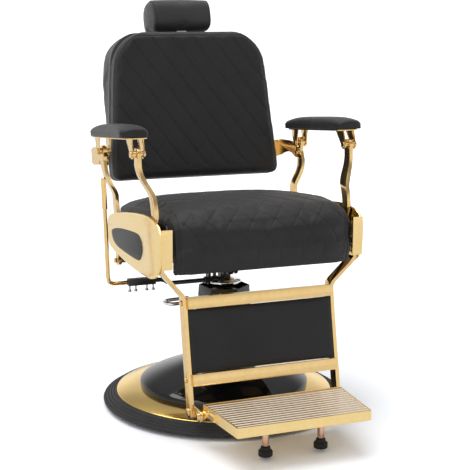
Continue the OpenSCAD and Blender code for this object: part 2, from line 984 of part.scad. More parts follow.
// Half width of the back at height v, with its round corners of radius r at the top
function back_half(v, r) = back_w * lookup(v / back_h, [[0, 1], [0.12, 1.004], [0.3, 0.985],
    [0.45, 0.964], [0.64, 0.942], [0.78, 0.915], [1, 0.885]])
    - (v > back_h - r ? r - sqrt(r * r - pow(v - back_h + r, 2)) : 0)
    - (v < 24 ? 24 - sqrt(576 - pow(24 - v, 2)) : 0);
function back_depth(v) = lookup(v / back_h, [[0, 52], [0.048, 60], [0.12, 66], [0.245, 70],
    [0.333, 80], [0.42, 95], [0.548, 114], [0.674, 126], [0.774, 128], [0.864, 123],
    [0.929, 114], [1, 102]]);

module board_outline() {
    w = back_w - 39;
    polygon([[-w, 18], [w, 18], [w, back_h - 130], [w - 19, back_h - 80], [w - 65, back_h - 35],
             [65 - w, back_h - 35], [19 - w, back_h - 80], [-w, back_h - 130]]);
}

module back_board() {
    color([0.6, 0.45, 0.28])
        back_frame()
            difference() {
                deep(back_pad, back_pad + back_board_t)
                    board_outline();
                for (u = [-bolt_u[1], -bolt_u[0], bolt_u[0], bolt_u[1]])
                    translate([u, 0, ear_v])
                        rotate([-90, 0, 0])
                            cylinder(h = 100, r = 4);
            }
}

module back_cushion() {
    rows = concat([0, 3, 9, 17], [for (v = 28; v < back_h - 90; v = v + dia_y) v],
                  [for (d = [74, 52, 32, 16, 5, 0]) back_h - d]);
    cols = [-1, -0.965, for (i = [-7:7]) i / 8, 0.965, 1];
    color([0.19, 0.18, 0.19])
        back_frame()
            loft([for (v = rows) let (
                    w = back_half(v, 98),
                    b = (v - 28) / dia_y,
                    on = v > 20 && v < back_h - 20
                ) concat(
                    [for (u = cols) let (
                        t = min(w * (1 - abs(u)) + 0.01, v, back_h - v),
                        soft = t < 18 ? 9 * pow(1 - t / 18, 2) : 0,
                        q = !on || abs(u) > 0.9 ? 0.5 : puff(u * 8, b)
                    ) [u * w, soft + quilt * (1 - q) - 3 * (1 - u * u), v]],
                    [[w, back_pad, v], [-w, back_pad, v]]
                )], 1);
}

module back_body() {
    rows = concat([0, 4, 12, 24], [for (k = [0.12, 0.245, 0.333, 0.42, 0.548, 0.674, 0.774])
                  back_h * k], [for (d = [72, 50, 32, 17, 6, 0]) back_h - d]);
    color([0.19, 0.18, 0.19])
        back_frame()
            difference() {
                loft([for (v = rows) let (
                        w = back_half(v, 80) + 2,
                        d = back_depth(v)
                    ) [[-w, back_pad, v], [w, back_pad, v], [w, d - 16, v],
                       [w - 5, d - 6, v], [w - 18, d, v], [0, d + 1, v], [-w + 18, d, v],
                       [-w + 5, d - 6, v], [-w, d - 16, v]]]);
                deep(back_pad - 1, back_pad + back_board_t)
                    board_outline();
                for (u = [-bolt_u[1], -bolt_u[0], bolt_u[0], bolt_u[1]])
                    translate([u, 0, ear_v])
                        rotate([-90, 0, 0])
                            cylinder(h = 100, r = 8);
                translate([-19, socket_d - 8, socket_v])
                    cube([38, 16, 200]);
            }
}

module headrest_socket() {
    color([0.3, 0.3, 0.32])
        back_frame()
            difference() {
                translate([-19, socket_d - 8, socket_v])
                    cube([38, 16, back_h - socket_v]);
                translate([-15.2, socket_d - 4.2, socket_v + 5])
                    cube([30.4, 8.4, 200]);
            }
}

// ---- Headrest ----

// The headrest's middle, out from the back's face and up from its top, and its lean
head_out = 103.7;
head_up = 57.3;
head_lean = 18;

module headrest_post() {
    color([0.85, 0.85, 0.87])
        back_frame()
            translate([-15, socket_d - 4, socket_v + 12])
                cube([30, 8, 205]);
}

module headrest_cushion() {
    cols = [[-1, 0.84], [-0.965, 0.95], [-0.89, 1], [-0.3, 1.02], [0.3, 1.02], [0.89, 1],
            [0.965, 0.95], [1, 0.84]];
    color([0.19, 0.18, 0.19])
        back_frame()
            difference() {
                translate([0, head_out, back_h + head_up])
                    rotate([lean - head_lean, 0, 0])
                        loft([for (c = cols)
                            [for (j = [0:23]) let (a = 15 * j, k = 0.75)
                                [c[0] * head_w / 2,
                                 c[1] * head_d / 2 * sign(cos(a)) * pow(abs(cos(a)), k),
                                 c[1] * head_h / 2 * sign(sin(a)) * pow(abs(sin(a)), k)]]]);
                translate([-15, socket_d - 4, socket_v + 12])
                    cube([30, 8, 205]);
            }
}

// ---- Arms ----

module front_post(side) {
    line = [front_pin, [-203, 560], [-205, 585], [-196, 617], [-182, 640], [-168, 662],
            [-157, 695], arm_front];
    color([0.93, 0.8, 0.55])
        mirror([side < 0 ? 1 : 0, 0, 0])
            difference() {
                union() {
                    intersection() {
                        across(post_x - 16, arm_x + 10.5)
                            polygon(band(ease(ease(line)), post_w));
                        post_bend(622, 700);
                    }
                    across(post_x - post_t / 2, post_x + post_t / 2)
                        spot(front_pin, 17);
                    across(arm_x - post_t / 2, arm_x + post_t / 2)
                        spot(arm_front, post_w / 2 + eye_rim);
                }
                pin_x(front_pin, plate_x - 10, arm_x, pin_r + fit);
                pin_x(arm_front, post_x - 1, arm_x + 30, arm_pin_r + loose);
            }
}

module front_post_left() {
    front_post(-1);
}

module front_post_right() {
    front_post(1);
}

module ear_outline(at, a, b, r) {
    polygon([[at - a, arm_under], [at - a, arm_under - 5], [at - r, 0], [at + r, 0],
             [at + b, arm_under - 5], [at + b, arm_under]]);
    spot([at, 0], r);
}

module arm_plate(side) {
    color([0.93, 0.8, 0.55])
        mirror([side < 0 ? 1 : 0, 0, 0])
            arm_frame()
                difference() {
                    union() {
                        translate([0, 0, arm_under])
                            linear_extrude(arm_plate_t)
                                plan(-30, -arm_len - 5, 30, 23, 16);
                        for (s = [-1, 1])
                            across(s > 0 ? ear_gap : -ear_gap - 3, s > 0 ? ear_gap + 3 : -ear_gap) {
                                ear_outline(0, 22, 21, 12);
                                ear_outline(-arm_len, 4, 40, 12);
                            }
                    }
                    for (y = [0, -arm_len])
                        pin_x([y, 0], -40, 40, arm_pin_r);
                }
}

module arm_plate_left() {
    arm_plate(-1);
}

module arm_plate_right() {
    arm_plate(1);
}

module arm_pins(side) {
    color([0.93, 0.8, 0.55])
        mirror([side < 0 ? 1 : 0, 0, 0])
            arm_frame()
                for (y = [0, -arm_len]) {
                    pin_x([y, 0], -ear_gap - 3, ear_gap + 3, arm_pin_r);
                    pin_x([y, 0], ear_gap + 3, ear_gap + 7, 8.5);
                    pin_x([y, 0], -ear_gap - 6, -ear_gap - 3, 8.5);
                    pin_x([y, 0], post_t / 2 + 0.5, ear_gap, 9);
                    pin_x([y, 0], -ear_gap, -post_t / 2 - 0.5 - (y == 0 ? ear_t : 0), 7.5);
                }
}

module arm_pins_left() {
    arm_pins(-1);
}

module arm_pins_right() {
    arm_pins(1);
}

module arm_pad(side) {
    stops = [-1, -0.99, -0.96, -0.9, -0.8, -0.5, 0, 0.5, 0.8, 0.9, 0.96, 0.99, 1];
    section = [[-1, 0], [-1, 0.42], [-0.93, 0.68], [-0.74, 0.87], [-0.4, 0.97], [0, 1],
               [0.4, 0.97], [0.74, 0.87], [0.93, 0.68], [1, 0.42], [1, 0]];
    color([0.19, 0.18, 0.19])
        mirror([side < 0 ? 1 : 0, 0, 0])
            arm_frame()
                translate([0, 9 - arm_len / 2, arm_under + arm_plate_t])
                    rotate([0, 0, 2])
                        loft([for (s = stops) let (
                                e = max(0, pad_r - pad_l / 2 * (1 - abs(s))),
                                w = pad_w / 2 - pad_r + sqrt(pad_r * pad_r - e * e),
                                c = pad_h * (0.58 + 0.42 * sqrt(1 - pow(s, 4)))
                            ) [for (p = section) [p[0] * w, s * pad_l / 2, p[1] * c]]]);
}

module arm_pad_left() {
    arm_pad(-1);
}

module arm_pad_right() {
    arm_pad(1);
}

// ---- Leg rest ----

module leg_bars() {
    line = [leg_pin, [-246, 440], [-236, 404], leg_at, link_bolt];
    color([0.93, 0.8, 0.55])
        both()
            difference() {
                union() {
                    intersection() {
                        across(leg_x - 18, post_x + 19)
                            polygon(band(ease(line), leg_w));
                        deep(-400, -100)
                            polygon(band(ease([[post_x, 520], [post_x, 454], [post_x, 443],
                                               [leg_x + 20, 395], [leg_x + 2, 376], [leg_x, 366],
                                               [leg_x, 361], [leg_x, 40]]),
                                         post_t));
                    }
                    across(post_x - post_t / 2, post_x + post_t / 2) {
                        polygon(band([tie_front, leg_pin], 24));
                        spot(leg_pin, leg_w / 2 + eye_rim);
                        spot(tie_front, 12 + eye_rim);
                    }
                    across(leg_x - post_t / 2, leg_x + post_t / 2)
                        spot(link_bolt, leg_w / 2 + eye_rim);
                    pin_x(tie_front, tie_in - 0.3, post_x, 5);
                    pin_x(tie_front, plate_out + 0.5, tie_in - 0.3, 7.5);
                }
                pin_x(leg_pin, plate_x - 10, arm_x, pin_r + fit);
                pin_x(link_bolt, leg_x - 58, leg_x + 92, 5);
                leg_frame()
                    for (v = bands_v)
                        pin_x([0, v], leg_x - 58, leg_x + 92, 4);
            }
}

module tie(side) {
    color([0.1, 0.1, 0.1])
        mirror([side < 0 ? 1 : 0, 0, 0])
            difference() {
                union() {
                    across(tie_in, tie_out)
                        polygon(band([tie_front, tie_rear], 16));
                    pin_x(tie_front, tie_in, tie_out, 11);
                    pin_x(tie_rear, tie_in, tie_out, 11);
                }
                pin_x(tie_rear, tie_in - 1, tie_out + 1, 5 + fit);
                pin_x(tie_front, tie_in - 1, tie_out + 1, 5 + loose);
            }
}

module tie_left() {
    tie(-1);
}

module tie_right() {
    tie(1);
}

module leg_bands() {
    x = leg_x - post_t / 2;
    color([0.93, 0.8, 0.55])
        leg_frame()
            for (v = bands_v)
                difference() {
                    translate([-x, band_front, v - band_h / 2])
                        cube([2 * x, band_d, band_h]);
                    translate([-x + 22, band_front + 2.5, v - band_h / 2 + 2.5])
                        cube([2 * x - 44, band_d - 5, band_h - 5]);
                    for (s = [-1, 1])
                        pin_x([0, v], s > 0 ? x - 18 : -x - 1, s > 0 ? x + 1 : -x + 18, 4);
                }
}

module leg_panel() {
    x = leg_x - post_t / 2;
    low = bands_v[1] + band_h / 2;
    high = bands_v[0] - band_h / 2;
    cols = [-1, -0.985, -0.93, -0.7, -0.35, 0, 0.35, 0.7, 0.93, 0.985, 1];
    rows = [0, 0.03, 0.12, 0.35, 0.65, 0.88, 0.97, 1];
    color([0.19, 0.18, 0.19])
        leg_frame()
            loft([for (k = rows) concat(
                [for (u = cols) [u * x, -22 + 4 * pow(abs(u), 12) + 4 * pow(abs(2 * k - 1), 8),
                                 low + (high - low) * k]],
                [[x, -4, low + (high - low) * k], [-x, -4, low + (high - low) * k]]
            )]);
}

module leg_screws() {
    x = leg_x + post_t / 2;
    color([0.93, 0.8, 0.55])
        both() {
            leg_frame()
                for (v = bands_v) {
                    pin_x([0, v], x - post_t - 18, x, 4);
                    pin_x([0, v], x, x + 3.5, 7);
                }
            pin_x(link_bolt, x - post_t - 7, x, 5);
            pin_x(link_bolt, x, x + 5, 10);
        }
}

module footrest_links() {
    x = leg_x - post_t / 2;
    color([0.93, 0.8, 0.55])
        both()
            difference() {
                union() {
                    across(x - 7, x) {
                        polygon(band([link_bolt, foot_pin], 30));
                        spot(link_bolt, 15);
                        spot(foot_pin, 15);
                    }
                    pin_x(foot_pin, foot_w + 1, x + 6, 6);
                    pin_x(foot_pin, x, x + 6, 10);
                }
                pin_x(link_bolt, leg_x - 58, leg_x + 92, 5);
            }
}

// ---- Footrest ----

foot_y = -356;
foot_z = 92;
foot_h = 27;
foot_wall = 4;
// Clear height of the feet above the floor, so that the chair can turn
pad_lift = 11;

module footrest_tray() {
    y0 = foot_y - foot_d;
    pitch = (foot_d - 2 * foot_wall) / (ribs + 0.5);
    color([0.93, 0.8, 0.55])
        difference() {
            union() {
                difference() {
                    translate([0, 0, foot_z])
                        linear_extrude(foot_h)
                            plan(-foot_w, y0, foot_w, foot_y, 3);
                    translate([-foot_w + foot_wall, y0 + foot_wall, foot_z + 3])
                        cube([2 * (foot_w - foot_wall), foot_d - 2 * foot_wall, foot_h]);
                }
                for (i = [0:ribs - 1])
                    translate([-foot_w + 2, y0 + foot_wall + pitch * (i + 0.5), foot_z + 2])
                        cube([2 * foot_w - 4, pitch * 0.5, foot_h - 7]);
                both()
                    across(foot_w - 2, leg_x - post_t / 2 - 7.5) {
                        spot(foot_pin, 13);
                        polygon([[-337, 73], [-337, 99], [-372, 112], [-420, 108], [-420, 96],
                                 [-372, 94], [-350, 78]]);
                    }
            }
            pin_x(foot_pin, -250, 250, 6 + fit);
            for (x = [-76, 76])
                translate([x, -466, foot_z - 2])
                    cylinder(h = 5, r = 6);
        }
}

module foot_stems() {
    color([0.85, 0.62, 0.5])
        for (x = [-76, 76])
            translate([x, -466, 0]) {
                translate([0, 0, pad_lift + 20])
                    cylinder(h = foot_z - pad_lift - 20, r = 8.5);
                translate([0, 0, foot_z])
                    cylinder(h = 3, r = 6);
            }
}

module foot_pads() {
    color([0.1, 0.1, 0.1])
        for (x = [-76, 76])
            translate([x, -466, pad_lift])
                rotate_extrude()
                    polygon([[0, 0], [17, 0], [18, 1.5], [18, 13], [16.5, 15], [13, 16],
                             [12, 24], [8.5, 24], [8.5, 20], [0, 20]]);
}

floor_ring();
base_plate();
base_cover();
bell_cover();
column_cover();
pump_cylinder();
flange_bolts();
gland_ring();
pump_block();
plunger();
plunger_spring();
pedal();
pedal_pin();
ram();
thrust_washer();
seat_mount();
mount_bolts();
cross_rails();
side_plates();
seat_board();
seat_cushion();
housing_left();
housing_right();
housing_insets();
pivot_pins();
strut_body();
strut_rod();
lever_shaft();
clamp_sleeve();
clamp_screws();
lever_rod();
rear_posts();
crank_tube();
tube_caps();
ear_brackets();
ear_bolts();
back_board();
back_cushion();
back_body();
headrest_socket();
headrest_post();
headrest_cushion();
front_post_left();
front_post_right();
arm_plate_left();
arm_plate_right();
arm_pad_left();
arm_pad_right();
arm_pins_left();
arm_pins_right();
leg_bars();
tie_left();
tie_right();
leg_bands();
leg_panel();
leg_screws();
footrest_links();
footrest_tray();
foot_stems();
foot_pads();
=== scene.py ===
"""Hydraulic barber chair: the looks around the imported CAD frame. Metres, +Z up, sitter faces -Y."""

import json
import math

import bmesh
import bpy
import numpy as np
from mathutils import Matrix, Vector

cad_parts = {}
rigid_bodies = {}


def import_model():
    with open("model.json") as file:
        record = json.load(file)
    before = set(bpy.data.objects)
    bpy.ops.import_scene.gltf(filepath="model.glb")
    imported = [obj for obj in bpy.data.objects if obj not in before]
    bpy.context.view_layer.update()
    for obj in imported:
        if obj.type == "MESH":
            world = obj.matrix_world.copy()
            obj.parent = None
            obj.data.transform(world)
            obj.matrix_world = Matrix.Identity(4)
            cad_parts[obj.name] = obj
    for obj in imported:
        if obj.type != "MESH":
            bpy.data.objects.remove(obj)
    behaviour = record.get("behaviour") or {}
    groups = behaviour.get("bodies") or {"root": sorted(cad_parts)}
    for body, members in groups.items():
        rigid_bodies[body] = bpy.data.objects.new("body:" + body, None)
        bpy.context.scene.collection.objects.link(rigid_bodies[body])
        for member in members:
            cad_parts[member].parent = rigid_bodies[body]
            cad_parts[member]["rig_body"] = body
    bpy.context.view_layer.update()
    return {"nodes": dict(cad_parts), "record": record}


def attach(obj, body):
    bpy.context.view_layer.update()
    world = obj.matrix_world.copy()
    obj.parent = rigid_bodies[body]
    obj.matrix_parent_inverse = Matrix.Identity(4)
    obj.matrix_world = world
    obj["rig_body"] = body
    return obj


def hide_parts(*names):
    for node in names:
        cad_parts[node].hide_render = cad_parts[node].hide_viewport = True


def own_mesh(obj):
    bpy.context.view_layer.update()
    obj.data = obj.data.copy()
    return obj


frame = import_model()
MM = 0.001

# ---------------------------------------------------------------- materials


class Nodes:
    """A material's node tree: one principled shader, and short names for what is added to it."""

    def __init__(self, name):
        self.mat = bpy.data.materials.new(name)
        self.mat.use_nodes = True
        self.tree = self.mat.node_tree
        self.shader = self.tree.nodes["Principled BSDF"]
        self.place = self.add("ShaderNodeTexCoord").outputs["Object"]

    def add(self, kind, **values):
        node = self.tree.nodes.new(kind)
        for key, value in values.items():
            if key in node.inputs:
                node.inputs[key].default_value = value
            else:
                setattr(node, key, value)
        return node

    def join(self, out, into):
        self.tree.links.new(out, into)

    def set(self, **values):
        for key, value in values.items():
            self.shader.inputs[key.replace("_", " ")].default_value = value

    def stretch(self, scale):
        node = self.add("ShaderNodeMapping")
        node.inputs["Scale"].default_value = scale
        self.join(self.place, node.inputs["Vector"])
        return node.outputs["Vector"]

    def noise(self, scale, detail=3.0, rough=0.5, at=None):
        node = self.add("ShaderNodeTexNoise")
        node.inputs["Scale"].default_value = scale
        node.inputs["Detail"].default_value = detail
        node.inputs["Roughness"].default_value = rough
        self.join(at or self.place, node.inputs["Vector"])
        return node.outputs["Fac"]

    def cells(self, scale, feature="F1", at=None):
        node = self.add("ShaderNodeTexVoronoi", feature=feature)
        node.inputs["Scale"].default_value = scale
        self.join(at or self.place, node.inputs["Vector"])
        return node.outputs["Distance"]

    def map(self, value, low, high, from_low=0.0, from_high=1.0):
        """Value between from_low and from_high, spread out to between low and high."""
        node = self.add("ShaderNodeMapRange")
        for key, number in (
            ("From Min", from_low),
            ("From Max", from_high),
            ("To Min", low),
            ("To Max", high),
        ):
            node.inputs[key].default_value = number
        self.join(value, node.inputs["Value"])
        return node.outputs["Result"]

    def math(self, kind, a, b):
        node = self.add("ShaderNodeMath", operation=kind)
        for socket, value in zip(node.inputs, (a, b)):
            if isinstance(value, (int, float)):
                socket.default_value = value
            else:
                self.join(value, socket)
        return node.outputs[0]

    def tint(self, fac, dark, light):
        node = self.add("ShaderNodeMix", data_type="RGBA")
        node.inputs["A"].default_value = (*dark, 1)
        node.inputs["B"].default_value = (*light, 1)
        self.join(fac, node.inputs["Factor"])
        self.join(node.outputs["Result"], self.shader.inputs["Base Color"])

    def rough(self, fac, low, high):
        self.join(self.map(fac, low, high), self.shader.inputs["Roughness"])

    def bump(self, height, distance, strength=1.0, under=None):
        node = self.add("ShaderNodeBump")
        node.inputs["Distance"].default_value = distance
        node.inputs["Strength"].default_value = strength
        self.join(height, node.inputs["Height"])
        if under is not None:
            self.join(under, node.inputs["Normal"])
        self.join(node.outputs["Normal"], self.shader.inputs["Normal"])
        return node.outputs["Normal"]


def metal(name, dark, light, rough, brushed=(1, 1, 1)):
    """Plated or polished metal: faint polish marks in its colour, its gloss and its surface."""
    n = Nodes(name)
    n.set(Metallic=1.0)
    marks = n.noise(60.0, 4.0, 0.6, n.stretch(brushed))
    fine = n.noise(720.0, 2.0, 0.5, n.stretch(brushed))
    n.tint(n.map(marks, 0, 1, 0.3, 0.7), dark, light)
    n.rough(n.map(fine, 0, 1, 0.25, 0.75), *rough)
    n.bump(fine, 0.00002)
    return n.mat


def coat(name, dark, light, rough, orange_peel, scale=500.0):
    """Paint, plastic or powder coat with its orange peel."""
    n = Nodes(name)
    broad = n.noise(18.0, 3.0)
    peel = n.noise(scale, 2.0)
    n.tint(n.map(broad, 0, 1, 0.3, 0.7), dark, light)
    n.rough(broad, *rough)
    n.bump(peel, orange_peel)
    return n.mat


GRAIN = 0.00022


def leather(name, dark, light):
    """Upholstery leather: a grain of small pebbles in soft creases, a little uneven in colour."""
    n = Nodes(name)
    n.set(Specular_IOR_Level=0.33, Sheen_Weight=0.2, Sheen_Roughness=0.35)
    warp = n.add("ShaderNodeMix", data_type="VECTOR")
    warp.inputs["Factor"].default_value = 0.0018
    colour = n.add("ShaderNodeTexNoise")
    colour.inputs["Scale"].default_value = 240.0
    n.join(n.place, colour.inputs["Vector"])
    n.join(n.place, warp.inputs["A"])
    n.join(colour.outputs["Color"], warp.inputs["B"])
    at = warp.outputs["Result"]
    pebbles = n.map(n.cells(620.0, "DISTANCE_TO_EDGE", at), 0, 1, 0.0, 0.28)
    creases = n.noise(130.0, 5.0, 0.65, at)
    broad = n.noise(9.0, 3.0)
    shade = n.math("ADD", n.math("MULTIPLY", pebbles, 0.35), broad)
    n.tint(n.map(shade, 0, 1, 0.4, 1.0), dark, light)
    n.rough(n.math("MULTIPLY", pebbles, 0.8), 0.42, 0.56)
    low = n.bump(creases, GRAIN * 1.4, 0.7)
    n.bump(pebbles, GRAIN, 0.8, low)
    return n.mat


def rubber(name, dark, light):
    """Matt rubber, a little dusty."""
    n = Nodes(name)
    n.set(Specular_IOR_Level=0.35)
    broad = n.noise(25.0, 4.0, 0.6)
    n.tint(n.map(broad, 0, 1, 0.3, 0.7), dark, light)
    n.rough(broad, 0.5, 0.68)
    n.bump(n.noise(1500.0, 2.0), 0.00006)
    return n.mat


def timber(name):
    """Bare plywood with its grain along x."""
    n = Nodes(name)
    rings = n.noise(14.0, 6.0, 0.6, n.stretch((1, 9, 30)))
    n.tint(n.map(rings, 0, 1, 0.3, 0.7), (0.27, 0.15, 0.07), (0.5, 0.33, 0.18))
    n.rough(rings, 0.6, 0.8)
    n.bump(rings, 0.0003)
    return n.mat


GOLD = metal("gold_plate", (0.80, 0.55, 0.23), (0.85, 0.61, 0.29), (0.10, 0.17))
GOLD_DEEP = metal("gold_deep", (0.97, 0.66, 0.21), (0.98, 0.69, 0.24), (0.14, 0.2))
GOLD_TRAY = metal("gold_tray", (0.96, 0.70, 0.30), (0.98, 0.75, 0.36), (0.16, 0.24))
# painted highlight: a paler gold for the rib crowns, standing for the light on their tops
GOLD_RIB_HIGHLIGHT = metal("gold_rib_painted_highlight", (0.94, 0.79, 0.62), (0.97, 0.84, 0.68), (0.14, 0.2))
GOLD_CAST = metal("gold_satin", (0.91, 0.67, 0.29), (0.95, 0.72, 0.34), (0.18, 0.26))
ROSE = metal("rose_plate", (0.72, 0.42, 0.28), (0.80, 0.52, 0.36), (0.10, 0.2))
CHROME = metal("chrome_plate", (0.78, 0.78, 0.80), (0.86, 0.86, 0.88), (0.03, 0.09))
STEEL = metal("zinc_steel", (0.42, 0.42, 0.43), (0.56, 0.56, 0.57), (0.2, 0.34), (1, 1, 4))
BRONZE = metal("bronze", (0.45, 0.3, 0.12), (0.6, 0.42, 0.2), (0.25, 0.4))
IRON = coat("cast_paint", (0.02, 0.02, 0.022), (0.04, 0.04, 0.042), (0.5, 0.7), 0.0002, 300.0)
BLACK = coat("powder_black", (0.008, 0.008, 0.009), (0.014, 0.014, 0.015), (0.28, 0.4), 0.00006)
GLOSS = coat(
    "gloss_black", (0.004, 0.004, 0.0045), (0.006, 0.006, 0.0065), (0.05, 0.1), 0.000015, 250.0
)
INSET = coat("inset_black", (0.018, 0.018, 0.019), (0.026, 0.026, 0.027), (0.42, 0.52), 0.00005)
LEATHER = leather("black_leather", (0.0115, 0.0112, 0.0119), (0.0185, 0.018, 0.019))
# painted light: a lighter copy of the black leather, for the sides of the back and the headrest,
# standing for the light they catch
SIDE_LEATHER_LIT = leather("side_leather_painted_light", (0.030, 0.029, 0.030), (0.044, 0.043, 0.044))
RING = rubber("ring_rubber", (0.018, 0.018, 0.019), (0.034, 0.034, 0.035))
FOOT = rubber("foot_rubber", (0.010, 0.009, 0.009), (0.02, 0.018, 0.018))
WOOD = timber("plywood")

SLOT_LOOK = {
    "gold": GOLD, "gold_cast": GOLD_CAST, "rose_steel": ROSE, "chrome": CHROME, "steel": STEEL,
    "bronze": BRONZE, "cast_iron": IRON, "black_steel": BLACK, "gloss_black": GLOSS,
    "inset_black": INSET, "leather": LEATHER, "ring_rubber": RING, "foot_rubber": FOOT,
    "plywood": WOOD,
}
NODE_SLOT = {p["node"]: p["material_slot"] for p in frame["record"]["subparts"]}


# ---------------------------------------------------------------- pieces


def paint(obj, mat):
    obj.data.materials.clear()
    obj.data.materials.append(mat)


def applied(obj):
    """Bakes an object's modifiers into its mesh."""
    graph = bpy.context.evaluated_depsgraph_get()
    mesh = bpy.data.meshes.new_from_object(obj.evaluated_get(graph))
    old = obj.data
    obj.modifiers.clear()
    obj.data = mesh
    bpy.data.meshes.remove(old)


def body_of(node):
    return frame["nodes"][node]["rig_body"]


def soften(mesh, degrees=30):
    """Smooth shading, but for edges sharper than degrees."""
    for face in mesh.polygons:
        face.use_smooth = True
    mesh.set_sharp_from_angle(angle=math.radians(degrees))


def new_piece(name, mesh):
    obj = bpy.data.objects.new(name, mesh)
    bpy.context.scene.collection.objects.link(obj)
    return obj


def dress(node, width, segments, look=None):
    """Stands a copy of a CAD node, with its edges rounded by width mm, in the node's place."""
    source = frame["nodes"][node]
    mesh = source.data.copy()
    obj = new_piece("look_" + node, mesh)
    bm = bmesh.new()
    bm.from_mesh(mesh)
    bmesh.ops.remove_doubles(bm, verts=bm.verts, dist=0.00001)
    bmesh.ops.dissolve_limit(
        bm, angle_limit=math.radians(0.4), verts=bm.verts, edges=bm.edges, delimit={"NORMAL"}
    )
    bm.to_mesh(mesh)
    bm.free()
    bevel = obj.modifiers.new("bevel", "BEVEL")
    bevel.width = width * MM
    bevel.segments = segments
    bevel.limit_method = "ANGLE"
    bevel.angle_limit = math.radians(28)
    bevel.use_clamp_overlap = True
    bevel.miter_outer = "MITER_ARC"
    applied(obj)
    soften(obj.data)
    paint(obj, look or SLOT_LOOK[NODE_SLOT[node]])
    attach(obj, body_of(node))
    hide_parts(node)
    return obj


def loft(name, rings):
    """A closed mesh through rings of equally many points."""
    bm = bmesh.new()
    rows = [[bm.verts.new(p) for p in ring] for ring in rings]
    count = len(rings[0])
    for a, b in zip(rows, rows[1:]):
        for j in range(count):
            k = (j + 1) % count
            bm.faces.new((a[j], a[k], b[k], b[j]))
    for ring in (rows[0], rows[-1]):
        middle = bm.verts.new(sum((v.co for v in ring), Vector()) / count)
        for j in range(count):
            bm.faces.new((ring[j], ring[(j + 1) % count], middle))
    bmesh.ops.recalc_face_normals(bm, faces=bm.faces)
    mesh = bpy.data.meshes.new(name)
    bm.to_mesh(mesh)
    bm.free()
    return new_piece(name, mesh)


def coords(obj):
    co = np.empty(len(obj.data.vertices) * 3)
    obj.data.vertices.foreach_get("co", co)
    return co.reshape(-1, 3)


def put_coords(obj, co):
    obj.data.vertices.foreach_set("co", co.ravel())
    obj.data.update()


def normals(obj):
    no = np.empty(len(obj.data.vertices) * 3)
    obj.data.vertices.foreach_get("normal", no)
    return no.reshape(-1, 3)


CLOTH_FRAMES = 20


def swell(obj, voxel, cap, shrink, keep=None):
    """Turns a closed form into stuffed upholstery: cloth blown up from a slightly smaller copy.

    No point moves further than cap mm, keep scales the move by place, and the piece keeps its box.
    """
    box = coords(obj).min(0), coords(obj).max(0)
    remesh = obj.modifiers.new("remesh", "REMESH")
    remesh.mode = "VOXEL"
    remesh.voxel_size = voxel * MM
    remesh.use_smooth_shade = True
    applied(obj)
    start = coords(obj) - normals(obj) * shrink * MM
    put_coords(obj, start)
    scene = bpy.context.scene
    cloth = obj.modifiers.new("cloth", "CLOTH")
    cloth.settings.quality = 4
    cloth.settings.use_pressure = True
    cloth.settings.uniform_pressure_force = 4.0
    cloth.settings.tension_stiffness = 30
    cloth.settings.compression_stiffness = 30
    cloth.settings.bending_stiffness = 1.5
    cloth.settings.effector_weights.gravity = 0
    cloth.collision_settings.use_collision = False
    cloth.point_cache.frame_start = 1
    cloth.point_cache.frame_end = CLOTH_FRAMES
    for step in range(1, CLOTH_FRAMES + 1):
        scene.frame_set(step)
    graph = bpy.context.evaluated_depsgraph_get()
    blown = obj.evaluated_get(graph).to_mesh()
    end = np.empty(len(blown.vertices) * 3)
    blown.vertices.foreach_get("co", end)
    end = end.reshape(-1, 3)
    obj.modifiers.clear()
    scene.frame_set(1)
    move = end - start
    length = np.linalg.norm(move, axis=1, keepdims=True)
    move *= np.minimum(1, cap * MM / np.maximum(length, 1e-9))
    if keep is not None:
        move *= keep(start)[:, None]
    put_coords(obj, start + move)
    smooth = obj.modifiers.new("smooth", "SMOOTH")
    smooth.iterations = 3
    smooth.factor = 0.5
    divide = obj.modifiers.new("divide", "SUBSURF")
    divide.levels = 1
    divide.render_levels = 1
    applied(obj)
    co = coords(obj)
    low, high = co.min(0), co.max(0)
    put_coords(obj, box[0] + (co - low) * (box[1] - box[0]) / (high - low))
    for face in obj.data.polygons:
        face.use_smooth = True


def finish_pad(obj, node):
    """Puts a padded piece in its node's place."""
    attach(obj, body_of(node))
    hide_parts(node)


def fold(x, middle, width):
    """A bell of height 1 over middle."""
    return np.exp(-(((x - middle) / width) ** 2))


def stations(*ends):
    """Places from -1 to 1, close together towards the two ends."""
    return [-e for e in ends] + [i / 10 for i in range(-8, 9)] + list(reversed(ends))


def lookup(x, pairs):
    """The value at x of a line through pairs."""
    return float(np.interp(x, [p[0] for p in pairs], [p[1] for p in pairs]))


# half the width and half the height of a diamond of the quilting, in mm
QUILT_X, QUILT_Y = 30.9, 42.5


def quilting(x, y, way):
    """Height, in mm, of the quilting at x, y: one way of its seams is deeper than the other."""
    reach = QUILT_X * QUILT_Y / math.hypot(QUILT_X, QUILT_Y)
    deep, fine = (x / QUILT_X + way * y / QUILT_Y), (x / QUILT_X - way * y / QUILT_Y)
    far_deep = np.abs(deep - 2 * np.round(deep / 2)) * reach
    far_fine = np.abs(fine - 2 * np.round(fine / 2)) * reach
    roll = 2.2 * np.abs(np.sin(np.pi / 2 * deep)) ** 0.5
    roll = roll + 0.5 * np.abs(np.sin(np.pi / 2 * fine)) ** 0.5
    return roll - 1.4 - 1.6 * fold(far_deep, 0, 2.0) - 0.8 * fold(far_fine, 0, 1.7)


# ---- the seat cushion

SEAT_W = 247.0
SEAT_TOP = 606.0
SEAT_LOW = 440.0
BOARD_TOP = 484.0
# shares of the cushion's top that lie behind its bend and in its rolled front
SEAT_BEND, SEAT_ROLL = 0.78, 0.22


